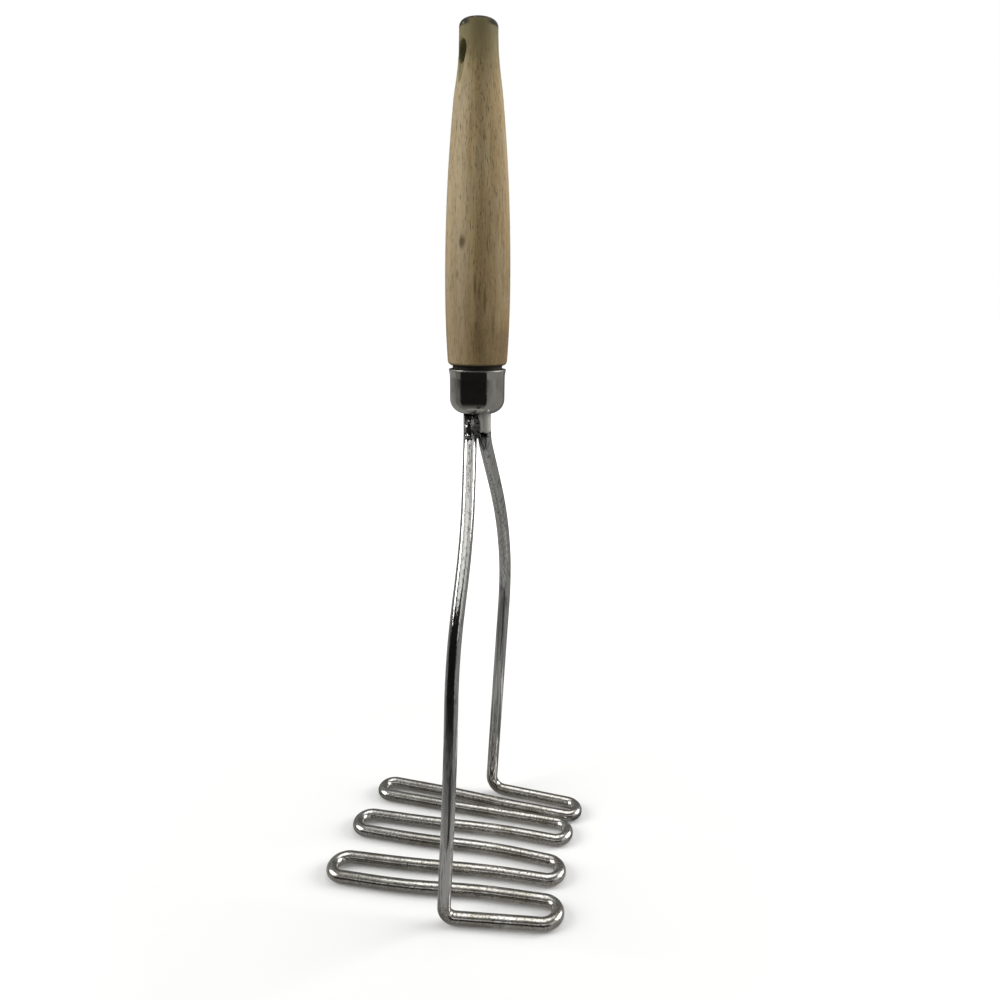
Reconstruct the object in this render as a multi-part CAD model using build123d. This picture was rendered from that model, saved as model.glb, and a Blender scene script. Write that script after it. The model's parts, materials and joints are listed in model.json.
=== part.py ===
from build123d import *
from math import cos, pi, radians, sin, tan
import os

# Hand potato masher, in millimetres, +Z up.
# It stands on its mashing face, and the origin is under the middle of it, at table level.
# One steel wire makes the whole lower half: a tang in the handle, a leg, eight hand-bent
# rows joined by hairpin turns, the second leg and the second tang.

# Wire
WIRE_DIAMETER = 5.0
NECK_GAP = 0.25                 # between the two wires where they run side by side
FRONT_FOOT_BEND = 4.2           # bend radii on the wire's centre line
REAR_FOOT_BEND = 6.0
NECK_BEND = 16.0
STEADY_BEND_SHARE = 0.45        # of the shorter run beside a corner
HAIRPIN_BEND_SHARE = 0.49
HAIRPIN_TURN = 60.0             # degrees: a sharper corner is half of a hairpin

# Mashing head
ROW_PITCH = 11.4
HEAD_REACH = 46.8               # from the head's middle to a hairpin's centre line
FOOT_SIDE = 4.0                 # both legs stand this far to the right of the middle

# Each row drifts from its even place, because it was bent by hand.
# The shares are of the pitch, at the row's left end, its two bends and its right end.
# The two outer rows run straight from a leg to their right end.
ROW_BEND_SHARES = (-0.32, 0.28)
ROW_DRIFT_SHARES = (
    (-0.23, 0.0, 0.0, 0.245),
    (-0.31, -0.245, 0.115, 0.22),
    (-0.34, -0.19, 0.095, 0.14),
    (0.115, 0.08, 0.245, 0.06),
    (0.045, 0.095, 0.27, 0.165),
    (0.34, 0.23, 0.21, 0.155),
    (0.20, 0.06, -0.19, -0.35),
    (-0.23, 0.0, 0.0, -0.55),
)
LEFT_TURN_SHARES = (-0.995, -1.0, -0.955)
RIGHT_TURN_SHARES = (0.960, 0.915, 0.915, 0.960)

# Legs, each listed from its foot to the neck.
# A bend is at a share of the neck's height, a share of the way in from the foot to the
# neck, and a share of the wire's diameter to the right of the straight line between them.
NECK_HEIGHT = 172.0
NECK_SIDE = 5.3
NECK_DEPTH = 1.25
FRONT_LEG_SHARES = (
    (0.35, 0.095, 0.42),
    (0.58, 0.25, 0.28),
    (0.80, 0.67, 0.47),
)
REAR_LEG_SHARES = (
    (0.31, 0.0, 0.30),
    (0.63, 0.03, 0.68),
    (0.81, 0.47, 0.74),
)

# Weld that joins the legs just under the ferrule
WELD_HEIGHT = 9.0
WELD_DEPTH = 6.0
WELD_TIP_DEPTH = 2.4

# Ferrule
FERRULE_SEAT = 9.1              # from the neck up to the ferrule's underside
FERRULE_HEIGHT = 15.9
FERRULE_DIAMETER = 19.8
FERRULE_FLARE = 0.5             # how much the lip's radius stands out
FERRULE_FLARE_HEIGHT = 3.4
FERRULE_CORNER = 5.2
FERRULE_WALL = 0.8
FERRULE_LIP_ROUND = 0.28
WIRE_CLEARANCE = 0.3
WOOD_CLEARANCE = 0.2

# Handle
SHOULDER_GAP = 1.3              # bare tenon between the ferrule's lip and the shoulder
HANDLE_LENGTH = 109.7
HANDLE_DIAMETER = 22.7
SHOULDER_ROUND = 1.7
TOP_ROUND = 2.0
TOP_CROWN = 0.9
TANG_LENGTH = 36.0              # of each wire above the shoulder
TANG_BORE_SPARE = 2.0
PROFILE_SHARES = (              # height share, radius share
    (0.0, 0.94),
    (0.083, 0.98),
    (0.30, 1.0),
    (0.565, 0.912),
    (0.732, 0.793),
    (0.843, 0.685),
    (0.905, 0.613),
    (1.0, 0.563),
)

# Hang hole, with a scoop sanded into the wood at each mouth
HANG_HOLE_DIAMETER = 6.6
HANG_HOLE_DROP = 9.4            # from the top rim down to the hole
HANG_HOLE_EASE = 1.2            # radius of the eased edge at each mouth
HANG_HOLE_EASE_ANGLE = 55.0
HANG_SCOOP_DEPTH = 1.2
HANG_SCOOP_RADIUS = 44.0
HANG_HOLE_TURN = 35.0           # degrees from the rows' direction

CUT_OVERRUN = 5.0

# Places that follow from the sizes above
wire_radius = WIRE_DIAMETER / 2
wire_spacing = WIRE_DIAMETER + NECK_GAP
row_count = len(ROW_DRIFT_SHARES)
ferrule_base = NECK_HEIGHT + FERRULE_SEAT
shoulder = ferrule_base + FERRULE_HEIGHT + SHOULDER_GAP
tenon_base = ferrule_base + FERRULE_WALL + WOOD_CLEARANCE
tenon_radius = FERRULE_DIAMETER / 2 - FERRULE_WALL - WOOD_CLEARANCE
tenon_corner = FERRULE_CORNER - FERRULE_WALL
tang_bore_radius = wire_spacing / 2 + wire_radius + WOOD_CLEARANCE


def row_place(row, spot):
    """Depth of a row at its left end, its two bends or its right end (0 to 3)."""
    even = (row - (row_count - 1) / 2) * ROW_PITCH
    return even + ROW_DRIFT_SHARES[row][spot] * ROW_PITCH


def leg_bends(foot, neck, shares):
    """Bends of one leg from its foot to the neck."""
    bends = []
    for height_share, way_share, side_share in shares:
        bends.append(Vector(
            foot.X + (neck.X - foot.X) * height_share + side_share * WIRE_DIAMETER,
            foot.Y + (neck.Y - foot.Y) * way_share,
            neck.Z * height_share,
        ))
    return bends


def row_points(row):
    """Corners of one row from left to right. The outer rows start at a leg."""
    right = RIGHT_TURN_SHARES[row // 2] * HEAD_REACH
    if row in (0, row_count - 1):
        return [Vector(FOOT_SIDE, row_place(row, 0), 0), Vector(right, row_place(row, 3), 0)]
    left = LEFT_TURN_SHARES[(row - 1) // 2] * HEAD_REACH
    sides = [left] + [share * HEAD_REACH for share in ROW_BEND_SHARES] + [right]
    return [Vector(side, row_place(row, spot), 0) for spot, side in enumerate(sides)]


def head_points():
    """Corners of the eight rows, from the front foot round to the rear foot."""
    points = []
    for row in range(row_count):
        corners = row_points(row)
        points += corners if row % 2 == 0 else corners[::-1]
    return points


def steady_radius(before, corner, after, share):
    """Largest bend at a corner that leaves the given share of the shorter run."""
    turn = (corner - before).get_angle(after - corner)
    run = min((corner - before).length, (after - corner).length)
    return share * run / tan(radians(turn) / 2)


def wire_path():
    """Centre line of the whole wire, from one tang's end to the other's."""
    front_neck = Vector(NECK_SIDE - wire_spacing / 2, NECK_DEPTH, NECK_HEIGHT)
    rear_neck = Vector(NECK_SIDE + wire_spacing / 2, NECK_DEPTH, NECK_HEIGHT)
    tang_top = Vector(0, 0, shoulder + TANG_LENGTH - NECK_HEIGHT)
    head = head_points()
    front_leg = leg_bends(head[0], front_neck, FRONT_LEG_SHARES)
    rear_leg = leg_bends(head[-1], rear_neck, REAR_LEG_SHARES)
    points = [front_neck + tang_top, front_neck] + front_leg[::-1]
    front_foot = len(points)
    points += head
    rear_foot = len(points) - 1
    points += rear_leg + [rear_neck, rear_neck + tang_top]

    named = {1: NECK_BEND, front_foot: FRONT_FOOT_BEND,
             rear_foot: REAR_FOOT_BEND, len(points) - 2: NECK_BEND}
    bends = []
    for place in range(1, len(points) - 1):
        trio = points[place - 1:place + 2]
        turn = (trio[1] - trio[0]).get_angle(trio[2] - trio[1])
        hairpin = turn > HAIRPIN_TURN and place not in named
        share = HAIRPIN_BEND_SHARE if hairpin else STEADY_BEND_SHARE
        bends.append(named.get(place) or steady_radius(*trio, share))
    return FilletPolyline(*points, radius=bends)


def make_wire(path):
    """The bent wire: legs, neck, tangs and the eight rows in one piece."""
    section = Plane(origin=path @ 0, z_dir=path % 0) * Circle(wire_radius)
    return sweep(section, path=path)


def make_weld(wire):
    """Weld metal in the two valleys between the wires, drawn out up and down."""
    half = WELD_HEIGHT / 2
    tip = WELD_TIP_DEPTH / 2
    line = [
        Line((0, -half), (tip, -half)),
        Spline((tip, -half), (WELD_DEPTH / 2, 0), (tip, half)),
        Line((tip, half), (0, half)),
        Line((0, half), (0, -half)),
    ]
    place = Pos(NECK_SIDE, NECK_DEPTH, ferrule_base - WIRE_CLEARANCE - half)
    return place * revolve(Plane.YZ * make_face(line), Axis.Z) - wire


def make_ferrule():
    """Pressed cup with a round bottom corner, a flared lip and one slot for the wires."""
    outer = FERRULE_DIAMETER / 2
    lip = outer + FERRULE_FLARE
    flare_base = FERRULE_HEIGHT - FERRULE_FLARE_HEIGHT
    line = [
        Line((0, 0), (outer - FERRULE_CORNER, 0)),
        RadiusArc((outer - FERRULE_CORNER, 0), (outer, FERRULE_CORNER), -FERRULE_CORNER),
        Line((outer, FERRULE_CORNER), (outer, flare_base)),
        TangentArc((outer, flare_base), (lip, FERRULE_HEIGHT), tangent=(0, 1)),
        Line((lip, FERRULE_HEIGHT), (lip - FERRULE_WALL, FERRULE_HEIGHT)),
        TangentArc((outer - FERRULE_WALL, flare_base),
                   (lip - FERRULE_WALL, FERRULE_HEIGHT), tangent=(0, 1)),
        Line((outer - FERRULE_WALL, flare_base), (outer - FERRULE_WALL, FERRULE_CORNER)),
        RadiusArc((outer - FERRULE_WALL, FERRULE_CORNER),
                  (outer - FERRULE_CORNER, FERRULE_WALL), tenon_corner),
        Line((outer - FERRULE_CORNER, FERRULE_WALL), (0, FERRULE_WALL)),
        Line((0, FERRULE_WALL), (0, 0)),
    ]
    cup = revolve(Plane.XZ * make_face(line), Axis.Z)
    rim = cup.edges().filter_by(GeomType.CIRCLE).group_by(Axis.Z)[-1]
    cup = fillet(rim, FERRULE_LIP_ROUND)
    hole_radius = wire_radius + WIRE_CLEARANCE
    slot = extrude(SlotCenterToCenter(wire_spacing, hole_radius * 2), FERRULE_WALL + CUT_OVERRUN,
                   both=True)
    cup = cup - slot
    return Pos(NECK_SIDE, NECK_DEPTH, ferrule_base) * cup


def handle_blank():
    """Turned body with its crowned top, rounded shoulder and tenon."""
    radius = HANDLE_DIAMETER / 2
    rise = HANDLE_LENGTH - TOP_ROUND - SHOULDER_ROUND
    profile = [(radius * out, SHOULDER_ROUND + rise * up) for up, out in PROFILE_SHARES]
    foot_radius = profile[0][0]
    top_radius = profile[-1][0]
    tenon = tenon_base - shoulder
    line = [
        Line((0, tenon), (tenon_radius - tenon_corner, tenon)),
        RadiusArc((tenon_radius - tenon_corner, tenon), (tenon_radius, tenon + tenon_corner),
                  -tenon_corner),
        Line((tenon_radius, tenon + tenon_corner), (tenon_radius, 0)),
        Line((tenon_radius, 0), (foot_radius - SHOULDER_ROUND, 0)),
        RadiusArc((foot_radius - SHOULDER_ROUND, 0), profile[0], -SHOULDER_ROUND),
        Spline(*profile),
        RadiusArc(profile[-1], (top_radius - TOP_ROUND, HANDLE_LENGTH), -TOP_ROUND),
        TangentArc((0, HANDLE_LENGTH + TOP_CROWN), (top_radius - TOP_ROUND, HANDLE_LENGTH),
                   tangent=(1, 0)),
        Line((0, HANDLE_LENGTH + TOP_CROWN), (0, tenon)),
    ]
    return revolve(Plane.XZ * make_face(line), Axis.Z)


def hang_scoop_floor():
    """Distance from the handle's axis to the deepest line of a scoop."""
    neck_radius = HANDLE_DIAMETER / 2 * PROFILE_SHARES[-2][1]
    return neck_radius - HANG_SCOOP_DEPTH


def hang_mouth():
    """Cutter for one mouth of the hang hole: its rounded edge, then an open cone."""
    hole = HANG_HOLE_DIAMETER / 2
    turn = radians(HANG_HOLE_EASE_ANGLE)
    floor = hang_scoop_floor()
    start = (hole, floor - HANG_HOLE_EASE * sin(turn))
    brim = (hole + HANG_HOLE_EASE * (1 - cos(turn)), floor)
    out = (brim[0] + CUT_OVERRUN * sin(turn), brim[1] + CUT_OVERRUN * cos(turn))
    line = [
        Line((0, start[1]), start),
        RadiusArc(start, brim, HANG_HOLE_EASE),
        Line(brim, out),
        Line(out, (0, out[1])),
        Line((0, out[1]), (0, start[1])),
    ]
    return revolve(Plane.XZ * make_face(line), Axis.Z)


def cut_hang_hole(body):
    """Sand a scoop into each side near the top and drill the hole across."""
    drop = HANDLE_LENGTH - HANG_HOLE_DROP
    reach = HANDLE_DIAMETER + CUT_OVERRUN
    scoop = Rot(90, 0, 0) * Cylinder(HANG_SCOOP_RADIUS, reach)
    mouth = hang_mouth()
    for side in (-1, 1):
        body = body - Pos(side * (hang_scoop_floor() + HANG_SCOOP_RADIUS), 0, drop) * scoop
        body = body - Pos(0, 0, drop) * Rot(0, side * 90, 0) * mouth
    return body - Pos(0, 0, drop) * Rot(0, 90, 0) * Cylinder(HANG_HOLE_DIAMETER / 2, reach)


def make_handle():
    """Turned wooden handle with the hang hole and the bore that takes both tangs."""
    body = cut_hang_hole(handle_blank())
    depth = shoulder + TANG_LENGTH + TANG_BORE_SPARE - tenon_base
    bore = Pos(0, 0, tenon_base - shoulder - CUT_OVERRUN) * Cylinder(
        tang_bore_radius, depth + CUT_OVERRUN, align=(Align.CENTER, Align.CENTER, Align.MIN))
    body = body - bore
    return Pos(NECK_SIDE, NECK_DEPTH, shoulder) * Rot(0, 0, HANG_HOLE_TURN) * body


def main():
    """Build the pieces, stand them over the origin and write them."""
    os.makedirs("parts", exist_ok=True)
    path = wire_path()
    wire = make_wire(path)
    weld = make_weld(wire)
    pieces = {
        "mashing_wire": wire,
        "neck_weld": weld,
        "ferrule": make_ferrule(),
        "handle": make_handle(),
    }
    box = wire.bounding_box()
    stand = Pos(-box.center().X, -box.center().Y, -box.min.Z)
    for name, piece in pieces.items():
        export_step(stand * piece, f"parts/{name}.step")
    drawn = pi * wire_radius ** 2 * path.length
    print(f"wire length {path.length:.1f} mm, volume {wire.volume:.1f}, section times length {drawn:.1f}")
    print(f"stand offset {-box.center().X:.3f} {-box.center().Y:.3f} {-box.min.Z:.3f}")


main()
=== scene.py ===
"""Looks of a wire potato masher with a turned wooden handle, in metres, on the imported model's own frame."""

import json
import logging
import math
from dataclasses import dataclass
from enum import Enum

import bpy
from mathutils import Matrix, Vector


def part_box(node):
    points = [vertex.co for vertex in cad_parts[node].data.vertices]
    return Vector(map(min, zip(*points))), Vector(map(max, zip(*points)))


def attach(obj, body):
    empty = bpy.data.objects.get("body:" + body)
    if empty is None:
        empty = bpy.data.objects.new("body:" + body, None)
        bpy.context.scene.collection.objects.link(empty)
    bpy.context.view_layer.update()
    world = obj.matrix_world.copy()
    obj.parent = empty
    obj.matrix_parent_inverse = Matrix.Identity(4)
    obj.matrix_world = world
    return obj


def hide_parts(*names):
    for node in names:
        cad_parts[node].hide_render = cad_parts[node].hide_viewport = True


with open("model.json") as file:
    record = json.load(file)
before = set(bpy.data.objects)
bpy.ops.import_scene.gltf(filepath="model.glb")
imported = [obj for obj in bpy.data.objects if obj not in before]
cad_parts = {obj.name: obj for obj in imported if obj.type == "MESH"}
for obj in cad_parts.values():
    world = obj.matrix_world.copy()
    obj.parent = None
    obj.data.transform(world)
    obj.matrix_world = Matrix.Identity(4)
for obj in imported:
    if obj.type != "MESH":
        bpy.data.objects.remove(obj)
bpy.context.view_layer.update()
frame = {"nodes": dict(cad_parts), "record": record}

MM = 0.001
BODY = "root"
LOG = logging.getLogger("masher")
WHITE = "#ffffff"
Limits = tuple[float, float]


class Run(Enum):
    """Which way a drawn or grown pattern runs on a piece."""

    ACROSS = "along X"
    UPRIGHT = "along Z"


def colour(hex_code: str) -> tuple[float, float, float, float]:
    """Linear colour of an sRGB hex code.

    Args:
        hex_code: Six hex digits after a hash.

    Returns:
        Red, green, blue and alpha for a socket.
    """
    channels = [int(hex_code[place:place + 2], 16) / 255 for place in (1, 3, 5)]
    linear = [c / 12.92 if c <= 0.04045 else ((c + 0.055) / 1.055) ** 2.4 for c in channels]
    return (*linear, 1.0)


class Tree:
    """A node tree with one short call for each node."""

    def __init__(self, tree: bpy.types.NodeTree) -> None:
        """Empty the tree and keep it."""
        self.tree = tree
        self.tree.nodes.clear()

    def add(self, kind: str, inputs: dict | None = None, **settings: object) -> bpy.types.Node:
        """Add a node.

        Args:
            kind: Blender's type name for the node.
            inputs: Value or output socket for each input, by the input's name or number.
            settings: Properties of the node itself.

        Returns:
            The new node.
        """
        node = self.tree.nodes.new(kind)
        for name, value in settings.items():
            setattr(node, name, value)
        for name, value in (inputs or {}).items():
            if isinstance(value, bpy.types.NodeSocket):
                self.tree.links.new(value, node.inputs[name])
            else:
                node.inputs[name].default_value = value
        return node

    def math(self, operation: str, *values: object) -> bpy.types.NodeSocket:
        """Output of a math node with these values or sockets."""
        return self.add("ShaderNodeMath", dict(enumerate(values)), operation=operation).outputs[0]

    def times(self, first: object, second: object) -> bpy.types.NodeSocket:
        """Product of two values or sockets."""
        return self.math("MULTIPLY", first, second)

    def vector(self, operation: str, *values: object) -> bpy.types.NodeSocket:
        """Output of a vector math node, a number for a length or a dot product."""
        node = self.add("ShaderNodeVectorMath", dict(enumerate(values)), operation=operation)
        return node.outputs["Value" if operation in ("LENGTH", "DOT_PRODUCT") else "Vector"]

    def mix(self, share: bpy.types.NodeSocket, first: object, second: object) -> bpy.types.NodeSocket:
        """Number that goes from first to second with the share."""
        return self.add("ShaderNodeMix", {0: share, 2: first, 3: second}).outputs[0]

    def span(self, value: bpy.types.NodeSocket, low: float, high: float, start: float = 0.0,
             end: float = 1.0) -> bpy.types.NodeSocket:
        """Output that goes evenly from low at start to high at end."""
        return self.add("ShaderNodeMapRange", {"Value": value, "From Min": start, "From Max": end,
                                               "To Min": low, "To Max": high}).outputs[0]

    def rise(self, height: bpy.types.NodeSocket, base: float, limits: Limits) -> bpy.types.NodeSocket:
        """Ramp between two heights measured up from a base."""
        return self.ramp(height, base + limits[0], base + limits[1])

    def ramp(self, value: bpy.types.NodeSocket, low: float, high: float) -> bpy.types.NodeSocket:
        """Output that goes smoothly from 0 at low to 1 at high, in either order."""
        node = self.add("ShaderNodeMapRange", {"Value": value, "From Min": low, "From Max": high},
                        interpolation_type="SMOOTHSTEP")
        return node.outputs["Result"]

    def blend(self, share: object, first: object, second: object) -> bpy.types.NodeSocket:
        """Colour that goes from first to second with the share, each a socket or an sRGB hex code."""
        node = self.add("ShaderNodeMix", data_type="RGBA")
        for place, value in ((0, share), (6, first), (7, second)):
            if isinstance(value, bpy.types.NodeSocket):
                self.tree.links.new(value, node.inputs[place])
            else:
                node.inputs[place].default_value = colour(value) if isinstance(value, str) else value
        return node.outputs[2]

    def place(self) -> bpy.types.NodeSocket:
        """Object coordinates, in metres."""
        return self.add("ShaderNodeTexCoord").outputs["Object"]

    def noise(self, across: float, along: float, run: Run, detail: float = 3.0,
              offset: float = 0.0) -> bpy.types.NodeSocket:
        """Noise stretched along one direction.

        Args:
            across: Size of its grains across the run, in metres.
            along: Size of its grains along the run, in metres.
            run: Direction that it is stretched in.
            detail: Octaves of finer noise.
            offset: Shift that makes this noise differ from the others.

        Returns:
            The noise's value, from 0 to 1.
        """
        sizes = {Run.UPRIGHT: (across, across, along), Run.ACROSS: (along, across, across)}[run]
        mapped = self.add("ShaderNodeMapping", {
            "Vector": self.place(), "Location": (offset, offset, offset),
            "Scale": tuple(1 / size for size in sizes)})
        return self.add("ShaderNodeTexNoise", {
            "Vector": mapped.outputs[0], "Scale": 1.0, "Detail": detail}).outputs["Fac"]

    def bump(self, height: bpy.types.NodeSocket, depth: float,
             under: bpy.types.NodeSocket | None = None) -> bpy.types.NodeSocket:
        """Normal of a surface whose height varies by this depth, in metres."""
        inputs = {"Height": height, "Distance": depth, "Strength": 1.0}
        if under is not None:
            inputs["Normal"] = under
        return self.add("ShaderNodeBump", inputs).outputs[0]


def new_material(name: str) -> tuple[bpy.types.Material, Tree, bpy.types.Node]:
    """A material with a Principled shader on its output.

    Args:
        name: The real material's name.

    Returns:
        The material, its tree and its shader node.
    """
    material = bpy.data.materials.new(name)
    material.use_nodes = True
    tree = Tree(material.node_tree)
    shader = tree.add("ShaderNodeBsdfPrincipled")
    tree.add("ShaderNodeOutputMaterial", {"Surface": shader.outputs[0]})
    return material, tree, shader


def join_sockets(tree: Tree, links: dict[str, bpy.types.NodeSocket], shader: bpy.types.Node) -> None:
    """Link each output socket to the shader's input of that name."""
    for name, socket in links.items():
        tree.tree.links.new(socket, shader.inputs[name])


def smooth_copy(node: str, name: str, angle: float) -> bpy.types.Object:
    """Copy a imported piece, close its seams and shade it smooth.

    Args:
        node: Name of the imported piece.
        name: Name of the copy.
        angle: Edges sharper than this many degrees stay sharp.

    Returns:
        The copy, at the origin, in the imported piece's place.
    """
    bpy.ops.object.select_all(action="DESELECT")
    copy = bpy.data.objects.new(name, frame["nodes"][node].data.copy())
    bpy.context.collection.objects.link(copy)
    bpy.context.view_layer.objects.active = copy
    copy.select_set(True)
    bpy.ops.object.mode_set(mode="EDIT")
    bpy.ops.mesh.select_all(action="SELECT")
    bpy.ops.mesh.remove_doubles(threshold=0.002 * MM)
    bpy.ops.object.mode_set(mode="OBJECT")
    bpy.ops.mesh.customdata_custom_splitnormals_clear()
    bpy.ops.object.shade_smooth_by_angle(angle=math.radians(angle))
    copy.select_set(False)
    return copy


def dress(piece: bpy.types.Object, material: bpy.types.Material, slot: str, *nodes: str) -> None:
    """Give a piece its one material and tie it to the frame."""
    piece.data.materials.clear()
    piece.data.materials.append(material)
    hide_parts(*nodes)
    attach(piece, BODY)
    LOG.info("%s: %d faces, %s", piece.name, len(piece.data.polygons), material.name)


@dataclass(frozen=True)
class PlatedWire:
    """Bright plated steel wire, drawn along its length, worn on the rows and rough at the weld.

    Real draw marks and pits are too fine to show in the render, so both are drawn coarser. Spans are
    heights over the weld's lower end, and the cup's shade is measured from its upper end. The wire
    just under the cup gets a painted shadow, and the rows' downward-facing sides get painted shade.
    """

    bright: str = "#b6b5b1"
    dull: str = "#9c9a93"
    stain: str = "#80796a"
    notch_and_shadow_black: str = "#171613"
    drawn_line: str = "#6c6b67"
    rough_neck: str = "#9b9a94"
    leg_roughness: float = 0.07
    row_roughness: float = 0.2
    neck_roughness: float = 0.5
    line_roughness: float = 0.06
    neck_plating: float = 0.35
    rows_end: float = 4.2 * MM
    legs_start: float = 12.6 * MM
    draw_width: float = 0.7 * MM
    draw_length: float = 60 * MM
    draw_depth: float = 0.035 * MM
    draw_limits: Limits = (0.52, 0.66)
    draw_share: float = 0.6
    wear: float = 9 * MM
    wear_limits: Limits = (0.4, 0.7)
    pit: float = 0.8 * MM
    pit_depth: float = 0.016 * MM
    pit_limits: Limits = (0.45, 0.72)
    underside_shade_limits: Limits = (0.45, -0.2)
    underside_shade_share: float = 0.45
    blotch_width: float = 1.45 * MM
    blotch_length: float = 2.61 * MM
    blotch_depth: float = 1.0 * MM
    blotch_span: Limits = (-0.3 * MM, 1.2 * MM)
    side_edge: float = 0.4 * MM
    sleeve_span: Limits = (2.2 * MM, 3.0 * MM)
    sleeve_grain: float = 0.5 * MM
    sleeve_depth: float = 0.2 * MM
    notch_width: float = 1.3 * MM
    notch_length: float = 1.1 * MM
    notch_limits: Limits = (0.47, 0.54)
    notch_bottom: Limits = (0.4 * MM, 1.2 * MM)
    notch_top: Limits = (3.2 * MM, 2.4 * MM)
    cup_shade: Limits = (-1.6 * MM, -0.4 * MM)

    def make(self, weld_low: Vector, weld_high: Vector) -> bpy.types.Material:
        """Metal with long draw marks on the legs, frosted rows, a blotched, partly burnt neck and painted
        shade.

        Args:
            weld_low: Lowest corner of the weld's box.
            weld_high: Highest corner of the weld's box.

        Returns:
            The material.
        """
        material, tree, shader = new_material("plated steel wire")
        spots = tree.add("ShaderNodeSeparateXYZ", {0: tree.place()})
        height = spots.outputs["Z"]
        on_legs = tree.ramp(height, self.rows_end, self.legs_start)
        on_rows = tree.ramp(height, self.legs_start, self.rows_end)
        upright = tree.noise(self.draw_width, self.draw_length, Run.UPRIGHT, 2.0)
        across = tree.noise(self.draw_width, self.draw_length, Run.ACROSS, 2.0)
        draw = tree.mix(on_legs, across, upright)
        pits = tree.noise(self.pit, self.pit, Run.UPRIGHT)
        cloud = tree.noise(self.wear, self.wear, Run.UPRIGHT, 2.0, offset=3.0)
        worn = tree.times(tree.ramp(cloud, *self.wear_limits), on_rows)
        metal = tree.blend(worn, self.bright, self.dull)
        metal = tree.blend(tree.times(tree.ramp(pits, *self.pit_limits), on_rows), metal, self.stain)
        drawn = tree.times(tree.ramp(draw, *self.draw_limits), on_legs)
        metal = tree.blend(tree.times(drawn, self.draw_share), metal, self.drawn_line)
        normal = tree.add("ShaderNodeNewGeometry").outputs["Normal"]
        facing = tree.add("ShaderNodeSeparateXYZ", {0: normal}).outputs["Z"]
        # Painted shade: the rows' downward-facing sides are darkened towards the stain colour.
        underside_shade = tree.times(tree.ramp(facing, *self.underside_shade_limits), on_rows)
        metal = tree.blend(tree.times(underside_shade, self.underside_shade_share), metal, self.stain)

        at_weld = tree.rise(height, weld_low.z, self.blotch_span)
        between = (weld_low.x + weld_high.x) / 2
        rear_side = tree.ramp(spots.outputs["X"], between, between + self.side_edge)
        front_side = tree.math("SUBTRACT", 1.0, rear_side)
        grain = tree.noise(self.sleeve_grain, self.sleeve_grain, Run.UPRIGHT, offset=4.0)
        sleeve = tree.times(tree.rise(height, weld_low.z, self.sleeve_span), rear_side)
        metal = tree.blend(sleeve, metal, self.rough_neck)
        notch = tree.noise(self.notch_width, self.notch_length, Run.UPRIGHT, 1.0, offset=7.0)
        notch_band = tree.times(tree.rise(height, weld_low.z, self.notch_bottom),
                                tree.rise(height, weld_low.z, self.notch_top))
        notches = tree.times(tree.times(notch_band, rear_side), tree.ramp(notch, *self.notch_limits))
        metal = tree.blend(notches, metal, self.notch_and_shadow_black)
        # Painted shadow: the top of the left wire, just under the cup, is painted near black.
        under_cup_shadow = tree.times(tree.rise(height, weld_high.z, self.cup_shade), front_side)
        metal = tree.blend(under_cup_shadow, metal, self.notch_and_shadow_black)

        rough = tree.span(on_legs, self.row_roughness, self.leg_roughness)
        rough = tree.mix(sleeve, rough, self.neck_roughness)
        rough = tree.math("ADD", rough, tree.times(draw, self.line_roughness))
        lines = tree.bump(draw, self.draw_depth)
        frosted = tree.bump(tree.times(pits, on_rows), self.pit_depth, lines)
        blotches = tree.noise(self.blotch_width, self.blotch_length, Run.UPRIGHT, 1.5, offset=6.0)
        blotched = tree.times(blotches, tree.times(at_weld, front_side))
        poured = tree.bump(blotched, self.blotch_depth, frosted)
        sanded = tree.bump(tree.times(grain, sleeve), self.sleeve_depth, poured)
        join_sockets(tree, {"Base Color": metal, "Roughness": rough, "Normal": sanded,
                            "Metallic": tree.span(sleeve, 1.0, self.neck_plating)}, shader)
        return material


@dataclass(frozen=True)
class DulledSteel:
    """Polished pressed steel that has dulled, with faint rings from the press.

    Real rings are too fine to show in the render, so they are drawn coarser.
    """

    face: str = "#b1afa7"
    cloud: str = "#a3a199"
    lip: str = "#8b8982"
    roughness: float = 0.06
    cloud_roughness: float = 0.08
    lip_roughness: float = 0.25
    ring_width: float = 60 * MM
    ring: float = 0.35 * MM
    ring_depth: float = 0.004 * MM
    cloud_size: float = 3 * MM
    cloud_limits: Limits = (0.4, 0.75)
    lip_colour: Limits = (-0.4 * MM, -0.2 * MM)
    lip_wear: Limits = (-0.8 * MM, -0.4 * MM)

    def make(self, top: float) -> bpy.types.Material:
        """Metal dark enough to read against the bright wire, with a clear reflection.

        Args:
            top: Height of the cup's lip.

        Returns:
            The material.
        """
        material, tree, shader = new_material("dulled pressed steel")
        shader.inputs["Metallic"].default_value = 1.0
        height = tree.add("ShaderNodeSeparateXYZ", {0: tree.place()}).outputs["Z"]
        rings = tree.noise(self.ring_width, self.ring, Run.UPRIGHT, 2.0)
        cloud = tree.noise(self.cloud_size, self.cloud_size, Run.UPRIGHT, offset=2.0)
        metal = tree.blend(tree.ramp(cloud, *self.cloud_limits), self.face, self.cloud)
        metal = tree.blend(tree.rise(height, top, self.lip_colour), metal, self.lip)
        rough = tree.math("ADD", tree.times(cloud, self.cloud_roughness), self.roughness)
        at_lip = tree.rise(height, top, self.lip_wear)
        rough = tree.math("ADD", rough, tree.times(at_lip, self.lip_roughness))
        join_sockets(tree, {"Base Color": metal, "Roughness": rough,
                            "Normal": tree.bump(rings, self.ring_depth)}, shader)
        return material


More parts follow.
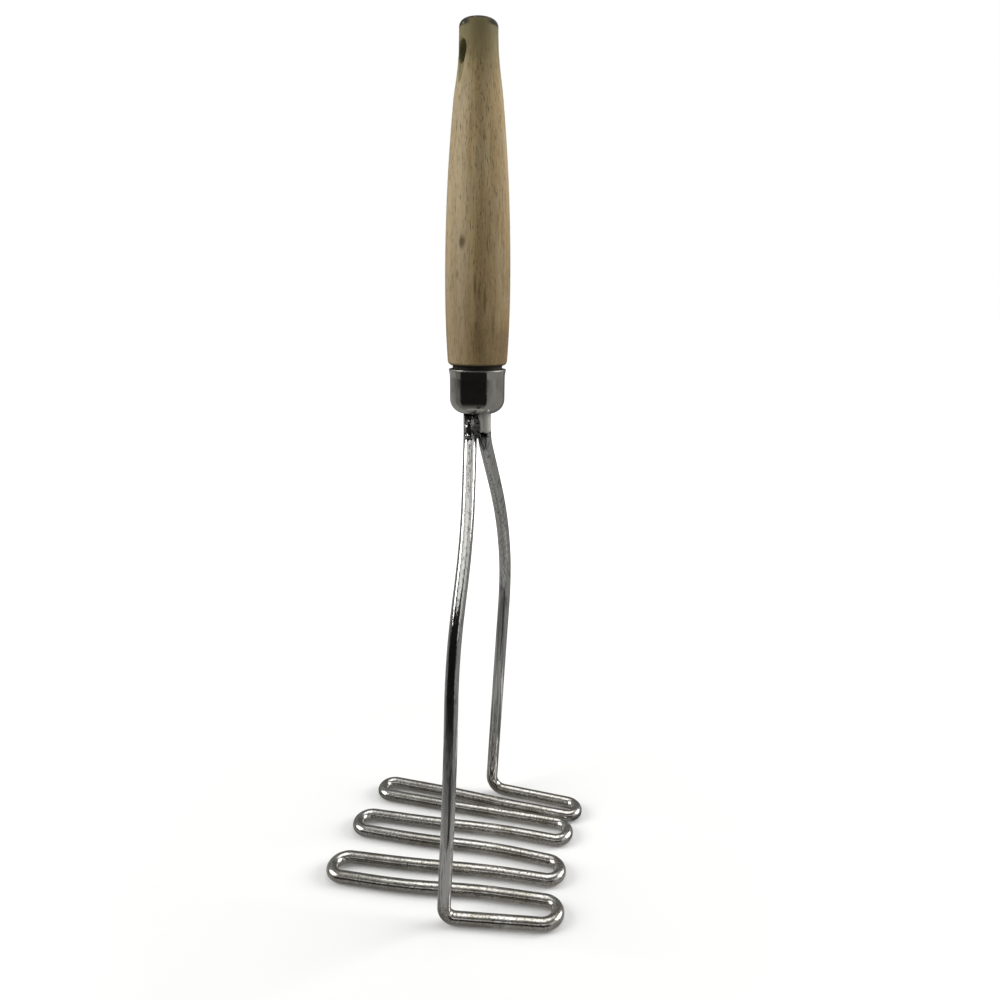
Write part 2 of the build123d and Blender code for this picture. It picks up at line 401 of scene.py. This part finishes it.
@dataclass(frozen=True)
class RoughWeld:
    """Weld metal that was plated over, rough and pitted, painted dark as the shaded gap between the legs."""

    shaded_crest: str = "#66655f"
    pit: str = "#191816"
    plating: float = 0.8
    pit_roughness: float = 0.65
    crest_roughness: float = 0.4
    grain: float = 0.8 * MM
    pit_limits: Limits = (0.5, 0.4)
    depth: float = 0.12 * MM

    def make(self) -> bpy.types.Material:
        """Dark grey metal, painted shade for the gap between the legs, with dark pits that keep it from
        shining like the wire.
        """
        material, tree, shader = new_material("plated weld metal in painted shade")
        shader.inputs["Metallic"].default_value = self.plating
        grain = tree.noise(self.grain, self.grain, Run.UPRIGHT, 4.0)
        # Painted shade: crest and pit colours are both dark so the weld reads as the shaded gap between the
        # legs.
        metal = tree.blend(tree.ramp(grain, *self.pit_limits), self.shaded_crest, self.pit)
        rough = tree.span(grain, self.pit_roughness, self.crest_roughness)
        join_sockets(tree, {"Base Color": metal, "Roughness": rough,
                            "Normal": tree.bump(grain, self.depth)}, shader)
        return material


@dataclass(frozen=True)
class WoodMark:
    """A dark mark on the wood: degrees round from the front, height, half sizes and strength."""

    turn: float
    height: float
    side: float
    reach: float
    strength: float


@dataclass(frozen=True)
class WornBeech:
    """Old unvarnished beech, greyed by washing, with short dark flecks along the grain.

    Spans are heights over the shoulder, or from the top where their names say so. Turns are degrees
    round from the front, growing to the right.
    """

    light: str = "#ab976e"
    middle: str = "#957f57"
    dark: str = "#665335"
    grey: str = "#9c907a"
    olive: str = "#625b3b"
    wear_and_highlight: str = "#9c9069"
    end_grain: str = "#1b1a12"
    hole: str = "#55502f"
    fleck: str = "#3b2d18"
    gloss: float = 0.2
    roughness: Limits = (0.62, 0.8)
    grain_depth: float = 0.05 * MM
    band_width: float = 2.6 * MM
    band_length: float = 75 * MM
    band_limits: Limits = (0.35, 0.62)
    fine_width: float = 0.572 * MM
    fine_length: float = 9.75 * MM
    fine_limits: Limits = (0.48, 0.75)
    fine_share: float = 0.7
    wash_width: float = 7 * MM
    wash_length: float = 18 * MM
    wash_limits: Limits = (0.5, 0.7)
    wash_share: float = 0.35
    patch_width: float = 8 * MM
    patch_length: float = 24 * MM
    patch_limits: Limits = (0.34, 0.68)
    handled_span: Limits = (66 * MM, 12 * MM)
    least_handled: float = 0.2
    least_dirt: float = 0.2
    clean_lit_turn: float = -62
    clean_lit_edge: Limits = (8.5 * MM, 6.5 * MM)
    clean_lit_ragged: float = 4 * MM
    clean_lit_share: float = 0.4
    fleck_width: float = 0.36 * MM
    fleck_length: float = 3 * MM
    fleck_limits: Limits = (0.56, 0.7)
    fleck_share: float = 0.55
    speck_width: float = 0.324 * MM
    speck_length: float = 1.05 * MM
    speck_limits: Limits = (0.58, 0.72)
    speck_share: float = 0.55
    low_span: Limits = (62 * MM, 4 * MM)
    low_share: float = 0.5
    top_span: Limits = (-24 * MM, -4 * MM)
    top_share: float = 0.85
    chip_width: float = 1.6 * MM
    chip_length: float = 1.2 * MM
    chip_limits: Limits = (0.68, 0.58)
    cap_middle_turn: float = 14
    cap_middle_edge: Limits = (2.0 * MM, 4.4 * MM)
    top_kept: Limits = (-2.4 * MM, -1.4 * MM)
    top_cap: Limits = (-3.8 * MM, -2.9 * MM)
    foot_span: Limits = (1.2 * MM, 0.0)
    scoop_half_width: float = 3.4 * MM
    scoop_half_height: float = 10.3 * MM
    scoop_below: float = -4 * MM
    scoop_inner: Limits = (0.75, 0.95)
    scoop_outer: Limits = (1.25, 1.05)
    scoop_wear_and_highlight: float = 0.7
    scoop_dark_share: float = 0.75
    hole_edge: Limits = (4.0 * MM, 3.3 * MM)
    mark_radius: float = 11.2 * MM
    mark_limits: Limits = (2.0, 0.8)
    marks: tuple[WoodMark, ...] = (
        WoodMark(-15, 242.0 * MM, 1.1 * MM, 2.4 * MM, 0.8),
        WoodMark(-24, 231.5 * MM, 0.7 * MM, 1.6 * MM, 0.5),
        WoodMark(9, 228.0 * MM, 0.5 * MM, 4.0 * MM, 0.75),
        WoodMark(16, 225.5 * MM, 0.5 * MM, 3.2 * MM, 0.7),
        WoodMark(26, 223.0 * MM, 0.5 * MM, 5.0 * MM, 0.85),
        WoodMark(42, 214.5 * MM, 0.6 * MM, 5.5 * MM, 0.6),
        WoodMark(12, 215.0 * MM, 0.5 * MM, 1.6 * MM, 0.7),
        WoodMark(22, 262.0 * MM, 0.45 * MM, 4.5 * MM, 0.6),
        WoodMark(28, 283.0 * MM, 0.5 * MM, 3.5 * MM, 0.5),
    )

    def make(self, axis: Vector, top: float, shoulder: float, hole: Vector,
             hole_way: Vector) -> bpy.types.Material:
        """Wood whose grain runs up the handle.

        Args:
            axis: A point on the handle's axis.
            top: Height of the handle's top.
            shoulder: Height of the shoulder.
            hole: Middle of the hang hole.
            hole_way: Direction that the hang hole was drilled in.

        Returns:
            The material.
        """
        material, tree, shader = new_material("worn beech")
        shader.inputs["Specular IOR Level"].default_value = self.gloss
        place = tree.place()
        height = tree.add("ShaderNodeSeparateXYZ", {0: place}).outputs["Z"]
        from_axis = tree.vector("SUBTRACT", place, tuple(axis))
        bands = tree.noise(self.band_width, self.band_length, Run.UPRIGHT)
        fine = tree.noise(self.fine_width, self.fine_length, Run.UPRIGHT, offset=1.0)
        wash = tree.noise(self.wash_width, self.wash_length, Run.UPRIGHT, 2.0, offset=8.0)
        patch = tree.noise(self.patch_width, self.patch_length, Run.UPRIGHT, offset=5.0)
        flecks = tree.noise(self.fleck_width, self.fleck_length, Run.UPRIGHT, 1.0, offset=9.0)
        specks = tree.noise(self.speck_width, self.speck_length, Run.UPRIGHT, 1.0, offset=12.0)
        chips = tree.noise(self.chip_width, self.chip_length, Run.UPRIGHT, 2.0, offset=2.0)

        wood = tree.blend(tree.ramp(bands, *self.band_limits), self.light, self.middle)
        fine_share = tree.times(tree.ramp(fine, *self.fine_limits), self.fine_share)
        wood = tree.blend(fine_share, wood, self.dark)
        wash_share = tree.times(tree.ramp(wash, *self.wash_limits), self.wash_share)
        wood = tree.blend(wash_share, wood, self.grey)

        # Partly wear, partly painted light: the left-front side, towards the left lamp, is painted lighter
        # grey and kept free of dirt.
        angle = math.radians(self.clean_lit_turn)
        side = tree.vector("DOT_PRODUCT", from_axis, (math.sin(angle), -math.cos(angle), 0))
        ragged = tree.math("ADD", side, tree.times(patch, self.clean_lit_ragged))
        handled_shaded_side = tree.ramp(ragged, *self.clean_lit_edge)
        handled = tree.span(height, self.least_handled, 1.0,
                            *(shoulder + reach for reach in self.handled_span))
        dirt = tree.times(tree.ramp(patch, *self.patch_limits), handled)
        dirt = tree.times(tree.math("MAXIMUM", dirt, self.least_dirt), handled_shaded_side)
        wood = tree.blend(dirt, wood, self.dark)
        clean_lit = tree.math("SUBTRACT", 1.0, handled_shaded_side)
        wood = tree.blend(tree.times(clean_lit, self.clean_lit_share), wood, self.grey)

        fleck_share = tree.times(tree.ramp(flecks, *self.fleck_limits), self.fleck_share)
        wood = tree.blend(fleck_share, wood, self.fleck)
        for mark in self.marks:
            wood = tree.blend(self.stain(tree, place, axis, mark, fine), wood, self.fleck)
        speck_share = tree.times(tree.ramp(specks, *self.speck_limits), self.speck_share)
        wood = tree.blend(speck_share, wood, self.wear_and_highlight)
        low = tree.rise(height, shoulder, self.low_span)
        wood = tree.blend(tree.times(low, self.low_share), wood, self.dark)
        near_top = tree.rise(height, top, self.top_span)
        wood = tree.blend(tree.times(near_top, self.top_share), wood, self.olive)
        wood = self.scoop(tree, place, height, hole, hole_way, wood)

        # The top is darkened to the end-grain colour, less far down in the middle as seen from 14 degrees
        # round, broken by chip noise.
        view = math.radians(self.cap_middle_turn)
        across = tree.vector("DOT_PRODUCT", from_axis, (math.cos(view), math.sin(view), 0))
        ends = tree.ramp(tree.math("ABSOLUTE", across), *self.cap_middle_edge)
        kept = tree.math("MAXIMUM", ends, tree.rise(height, top, self.top_kept))
        cap = tree.times(tree.rise(height, top, self.top_cap),
                         tree.times(kept, tree.ramp(chips, *self.chip_limits)))
        wood = tree.blend(cap, wood, self.end_grain)
        wood = tree.blend(tree.rise(height, shoulder, self.foot_span), wood, self.end_grain)
        grain = tree.math("SUBTRACT", fine, fleck_share)
        join_sockets(tree, {"Base Color": wood, "Roughness": tree.span(fine, *self.roughness),
                            "Normal": tree.bump(grain, self.grain_depth)}, shader)
        return material

    def stain(self, tree: Tree, place: bpy.types.NodeSocket, axis: Vector, mark: WoodMark,
              edge: bpy.types.NodeSocket) -> bpy.types.NodeSocket:
        """Share of a dark mark at each place, with its edge broken by the grain.

        Args:
            tree: The material's tree.
            place: Object coordinates.
            axis: A point on the handle's axis.
            mark: The mark.
            edge: Noise that breaks its edge.

        Returns:
            The share, from 0 to the mark's strength.
        """
        angle = math.radians(mark.turn)
        middle = (axis.x + self.mark_radius * math.sin(angle),
                  axis.y - self.mark_radius * math.cos(angle), mark.height)
        away = tree.vector("SUBTRACT", place, middle)
        sized = tree.vector("MULTIPLY", away, (1 / mark.side, 1 / mark.side, 1 / mark.reach))
        broken = tree.math("ADD", tree.vector("LENGTH", sized), edge)
        return tree.times(tree.ramp(broken, *self.mark_limits), mark.strength)

    def scoop(self, tree: Tree, place: bpy.types.NodeSocket, height: bpy.types.NodeSocket,
              hole: Vector, hole_way: Vector, wood: bpy.types.NodeSocket) -> bpy.types.NodeSocket:
        """Colour of the wood with a dark hang hole, darker olive in the scoop below the hole, and a lighter
        scoop edge that is partly wear and partly a painted highlight.

        Args:
            tree: The material's tree.
            place: Object coordinates.
            height: Their height.
            hole: Middle of the hang hole.
            hole_way: Direction that it was drilled in.
            wood: Colour of the wood so far.

        Returns:
            The colour with the scoops on it.
        """
        aside = (-hole_way.y, hole_way.x, 0)
        side = tree.vector("DOT_PRODUCT", tree.vector("SUBTRACT", place, tuple(hole)), aside)
        rise = tree.math("SUBTRACT", height, hole.z)
        shape = tree.math("ADD", *(
            tree.math("POWER", tree.math("DIVIDE", distance, half), 2.0)
            for distance, half in ((side, self.scoop_half_width), (rise, self.scoop_half_height))))
        ring = tree.times(tree.ramp(shape, *self.scoop_inner), tree.ramp(shape, *self.scoop_outer))
        # Lighter ring on the scoop below the hole: partly edge wear, partly a painted highlight on its
        # rounded lip.
        below = tree.ramp(rise, 0.0, self.scoop_below)
        worn = tree.times(tree.times(ring, below), self.scoop_wear_and_highlight)
        wood = tree.blend(worn, wood, self.wear_and_highlight)
        # Darker olive in the scoop below the hole.
        below_hole_dark = tree.times(tree.ramp(shape, *reversed(self.scoop_inner)), below)
        wood = tree.blend(tree.times(below_hole_dark, self.scoop_dark_share), wood, self.olive)
        bore = tree.math("ADD", tree.math("POWER", side, 2.0), tree.math("POWER", rise, 2.0))
        in_hole = tree.ramp(bore, *(edge ** 2 for edge in self.hole_edge))
        return tree.blend(in_hole, wood, self.hole)


@dataclass
class WireHead:
    """The one wire: both legs, the eight rows and the tangs."""

    node: str = "mashing_wire"
    finish: PlatedWire = PlatedWire()

    def build(self) -> None:
        """Smooth the wire and plate it."""
        material = self.finish.make(*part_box(NeckWeld.node))
        dress(smooth_copy(self.node, "bent_wire", 60), material, "wire_steel", self.node)


@dataclass
class NeckWeld:
    """Weld metal in the valleys between the legs."""

    node: str = "neck_weld"
    finish: RoughWeld = RoughWeld()

    def build(self) -> None:
        """Smooth the weld and roughen its surface."""
        dress(smooth_copy(self.node, "weld_bead", 40), self.finish.make(), "weld_steel", self.node)


@dataclass
class Ferrule:
    """Pressed steel cup round the foot of the handle."""

    node: str = "ferrule"
    finish: DulledSteel = DulledSteel()

    def build(self) -> None:
        """Smooth the cup and dull it."""
        material = self.finish.make(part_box(self.node)[1].z)
        dress(smooth_copy(self.node, "pressed_cup", 35), material, "ferrule_steel", self.node)


@dataclass
class Handle:
    """Turned wooden handle."""

    node: str = "handle"
    hole_mount: str = "hang_hole"
    tenon: float = 16.2 * MM
    finish: WornBeech = WornBeech()

    def build(self) -> None:
        """Smooth the turning and give it its worn grain."""
        low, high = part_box(self.node)
        mount = next(m for m in frame["record"]["mounts"] if m["name"] == self.hole_mount)
        material = self.finish.make((low + high) / 2, high.z, low.z + self.tenon,
                                    Vector(mount["pos_m"]), Vector(mount["axis"]))
        dress(smooth_copy(self.node, "turned_handle", 35), material, "wood", self.node)


@dataclass
class Studio:
    """Floor, lamps, reflecting cards and the camera."""

    floor_side: float = 60.0
    camera_place: tuple[float, float, float] = (70.858 * MM, -260.337 * MM, 220.025 * MM)
    yaw: float = -0.208
    pitch: float = 0.249
    roll: float = 0.012
    sensor: float = 36.0
    focal_share: float = 0.746556
    shadow_reach: float = 0.12
    near_glow: float = 0.08
    far_glow: float = 0.8
    dome_radius: float = 1.5
    card_lift: float = 0.2 * MM
    steps: int = 12
    sky_light: float = 0.38
    paint: str = "#dededc"
    glow_spread: float = 5
    clip_start: float = 0.01

    def aim(self) -> Matrix:
        """The camera's turn, from its yaw, pitch and roll."""
        ahead = Vector((math.sin(self.yaw) * math.cos(self.pitch),
                        math.cos(self.yaw) * math.cos(self.pitch), -math.sin(self.pitch)))
        level = Vector((math.cos(self.yaw), -math.sin(self.yaw), 0))
        up = level.cross(ahead)
        right = level * math.cos(self.roll) + up * math.sin(self.roll)
        top = up * math.cos(self.roll) - level * math.sin(self.roll)
        return Matrix((right, top, -ahead)).transposed().to_4x4()

    def shoot(self) -> None:
        """Put up the camera that the photograph was fitted to."""
        bpy.ops.object.select_all(action="DESELECT")
        bpy.ops.object.camera_add(location=self.camera_place)
        camera = bpy.context.object
        camera.matrix_world = Matrix.Translation(Vector(self.camera_place)) @ self.aim()
        camera.data.sensor_width = self.sensor
        camera.data.lens = self.sensor * self.focal_share
        camera.data.clip_start = self.clip_start
        bpy.context.scene.camera = camera

    def sky(self) -> None:
        """White world for the camera and for reflections, and a dimmer one for light."""
        world = bpy.data.worlds.new("studio")
        bpy.context.scene.world = world
        world.use_nodes = True
        tree = Tree(world.node_tree)
        light = tree.add("ShaderNodeBackground", {"Color": colour(WHITE), "Strength": self.sky_light})
        white = tree.add("ShaderNodeBackground", {"Color": colour(WHITE), "Strength": 1.0})
        mixed = tree.add("ShaderNodeMixShader", {
            0: self.seen(tree), 1: light.outputs[0], 2: white.outputs[0]})
        tree.add("ShaderNodeOutputWorld", {"Surface": mixed.outputs[0]})

    def seen(self, tree: Tree) -> bpy.types.NodeSocket:
        """1 for camera, glossy and transmission rays, else 0."""
        path = tree.add("ShaderNodeLightPath")
        shiny = tree.math("MAXIMUM", path.outputs["Is Glossy Ray"], path.outputs["Is Transmission Ray"])
        return tree.math("MAXIMUM", path.outputs["Is Camera Ray"], shiny)

    def floor(self) -> None:
        """Pale floor that keeps a soft shadow."""
        bpy.ops.object.select_all(action="DESELECT")
        bpy.ops.mesh.primitive_plane_add(size=self.floor_side)
        floor = bpy.context.object
        floor.name = "floor"
        material = bpy.data.materials.new("white table")
        material.use_nodes = True
        tree = Tree(material.node_tree)
        paint = tree.add("ShaderNodeBsdfDiffuse", {"Color": colour(self.paint)})
        away = tree.vector("LENGTH", tree.place())
        lift = tree.span(away, self.near_glow, self.far_glow, self.shadow_reach,
                         self.shadow_reach * self.glow_spread)
        glow = tree.add("ShaderNodeEmission", {
            "Color": colour(WHITE), "Strength": tree.times(self.seen(tree), lift)})
        both = tree.add("ShaderNodeAddShader", {0: paint.outputs[0], 1: glow.outputs[0]})
        tree.add("ShaderNodeOutputMaterial", {"Surface": both.outputs[0]})
        floor.data.materials.append(material)

    def lamp(self, name: str, place: tuple[float, float, float], aim: tuple[float, float, float],
             size: float, power: float) -> None:
        """Hang a square soft lamp.

        Args:
            name: What the lamp is.
            place: Where it hangs.
            aim: The point that it faces.
            size: Length of its side.
            power: Its power in watts.
        """
        bpy.ops.object.select_all(action="DESELECT")
        bpy.ops.object.light_add(type="AREA", location=place)
        lamp = bpy.context.object
        lamp.name = name
        lamp.data.size = size
        lamp.data.energy = power
        turn = (Vector(aim) - Vector(place)).to_track_quat("-Z", "Y")
        lamp.matrix_world = Matrix.LocRotScale(Vector(place), turn, Vector((1, 1, 1)))

    def card(self, name: str, corners: list[tuple[float, float, float]], shade: float) -> None:
        """Stand a card that only shows in reflections.

        Args:
            name: What the card is.
            corners: Its corners, one pair for each step along it.
            shade: How bright it is, where 1 is white.
        """
        mesh = bpy.data.meshes.new(name)
        mesh.from_pydata(corners, [], [(first, first + 1, first + 3, first + 2)
                                       for first in range(0, len(corners) - 2, 2)])
        card = bpy.data.objects.new(name, mesh)
        bpy.context.collection.objects.link(card)
        material = bpy.data.materials.new(name)
        material.use_nodes = True
        tree = Tree(material.node_tree)
        glow = tree.add("ShaderNodeEmission", {"Color": colour(WHITE), "Strength": shade})
        tree.add("ShaderNodeOutputMaterial", {"Surface": glow.outputs[0]})
        mesh.materials.append(material)
        card.visible_camera = False
        card.visible_diffuse = False
        card.visible_shadow = False
        card.visible_transmission = False

    def dome(self, name: str, turn: Limits, rise: Limits, shade: float) -> None:
        """Set a card into the dome round the masher.

        Args:
            name: What the card is.
            turn: Its two sides, in degrees from the front, growing to the right.
            rise: Its lower and upper edge, in degrees above the table.
            shade: How bright it is, where 1 is white.
        """
        corners = [self.on_dome(angle, height) for angle in self.sweep(turn) for height in rise]
        self.card(name, corners, shade)

    def sweep(self, turn: Limits) -> list[float]:
        """Angles at even steps from the first to the last, in degrees."""
        return [turn[0] + (turn[1] - turn[0]) * step / self.steps for step in range(self.steps + 1)]

    def on_dome(self, turn: float, rise: float) -> tuple[float, float, float]:
        """Point of the dome at these two angles, in degrees."""
        across = self.dome_radius * math.cos(math.radians(rise))
        return (across * math.sin(math.radians(turn)), -across * math.cos(math.radians(turn)),
                self.dome_radius * math.sin(math.radians(rise)) + self.card_lift)

    def mat(self, name: str, turn: Limits, reach: Limits, shade: float) -> None:
        """Lay a card on the table.

        Args:
            name: What the card is.
            turn: Its two sides, in degrees from the front, growing to the right.
            reach: How near and how far from the masher it lies, in metres.
            shade: How bright it is, where 1 is white.
        """
        corners = [(far * math.sin(angle), -far * math.cos(angle), self.card_lift)
                   for angle in map(math.radians, self.sweep(turn)) for far in reach]
        self.card(name, corners, shade)

    def build(self) -> None:
        """Set the whole studio up."""
        self.sky()
        self.floor()
        self.lamp("left_lamp", (-1.0, -0.35, 0.75), (0, 0, 0.18), 0.8, 12.5)
        self.lamp("right_lamp", (1.0, 0.4, 0.6), (0, 0, 0.18), 0.7, 12)
        self.lamp("top_lamp", (0.1, 0.35, 1.3), (0, 0, 0.05), 0.9, 4)
        for name, turn, rise, shade in (
                ("front_card", (-65, 52), (0, 29.5), 0.012),
                ("front_left_edge", (-62, -45), (29.5, 38), 0.7),
                ("front_left_band", (-45, -10), (29.5, 38), 1.2),
                ("front_band", (-10, 25), (29.5, 38), 1.6),
                ("front_right_band", (25, 43), (29.5, 38), 1.3),
                ("front_gap", (43, 58), (33, 38), 0.2),
                ("right_low_band", (52, 110), (9, 33), 0.95),
                ("right_band", (58, 110), (33, 38), 1.5),
                ("left_low_band", (-110, -65), (10, 29.5), 0.15),
                ("left_band", (-110, -62), (29.5, 38), 1.0),
                ("front_upper_card", (-110, 110), (38, 58), 0.1),
                ("high_card", (-110, 110), (58, 76), 0.4),
                ("right_near_card", (52, 64), (0, 9), 0.12),
                ("right_card", (64, 80), (0, 9), 0.28),
                ("right_strip", (80, 98), (0, 9), 0.44),
                ("right_far_card", (98, 110), (0, 9), 0.32),
                ("right_rear_card", (110, 150), (0, 60), 0.32),
                ("left_near_card", (-78, -65), (0, 10), 0.1),
                ("left_card", (-98, -78), (0, 10), 0.2),
                ("left_far_card", (-110, -98), (0, 10), 0.28),
                ("left_rear_card", (-150, -110), (0, 60), 0.32),
                ("rear_card", (150, 210), (0, 60), 0.2),
                ("rear_high_card", (110, 250), (60, 76), 1.2),
                ("ceiling_card", (-180, 180), (76, 90), 2.2)):
            self.dome(name, turn, rise, shade)
        for name, turn, reach, shade in (
                ("head_mat", (-210, 30), (0, 0.052), 0.34),
                ("head_right_mat", (30, 150), (0, 0.052), 0.45),
                ("near_mat", (-100, 100), (0.052, 0.09), 0.48),
                ("near_rear_mat", (100, 260), (0.052, 0.1), 0.2),
                ("front_mat_1", (-100, 13), (0.09, 0.12), 0.31),
                ("front_dark_mat", (13, 36), (0.09, 0.2), 0.06),
                ("front_right_mat", (36, 100), (0.09, 0.12), 0.31),
                ("front_mat_2", (-62, 13), (0.12, 0.16), 0.22),
                ("front_mat_3", (-62, 13), (0.16, 0.2), 0.17),
                ("front_far_right_mat", (36, 55), (0.12, 0.2), 0.2),
                ("front_mat_4", (-62, 55), (0.2, 0.25), 0.12),
                ("front_mat_5", (-62, 55), (0.25, 0.35), 0.06),
                ("front_mat_6", (-62, 55), (0.35, 1.5), 0.018),
                ("left_mat", (-90, -62), (0.12, 1.5), 0.24),
                ("left_rear_mat", (-150, -90), (0.1, 1.5), 0.4),
                ("right_mat", (55, 150), (0.12, 1.5), 0.36),
                ("rear_mat", (150, 210), (0.1, 1.5), 0.2)):
            self.mat(name, turn, reach, shade)
        self.shoot()


def main() -> None:
    """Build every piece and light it."""
    logging.basicConfig(level=logging.INFO, format="%(message)s")
    for part in (WireHead(), NeckWeld(), Ferrule(), Handle(), Studio()):
        part.build()
    bpy.context.scene.view_settings.view_transform = "Standard"


if __name__ == "__main__":
    main()
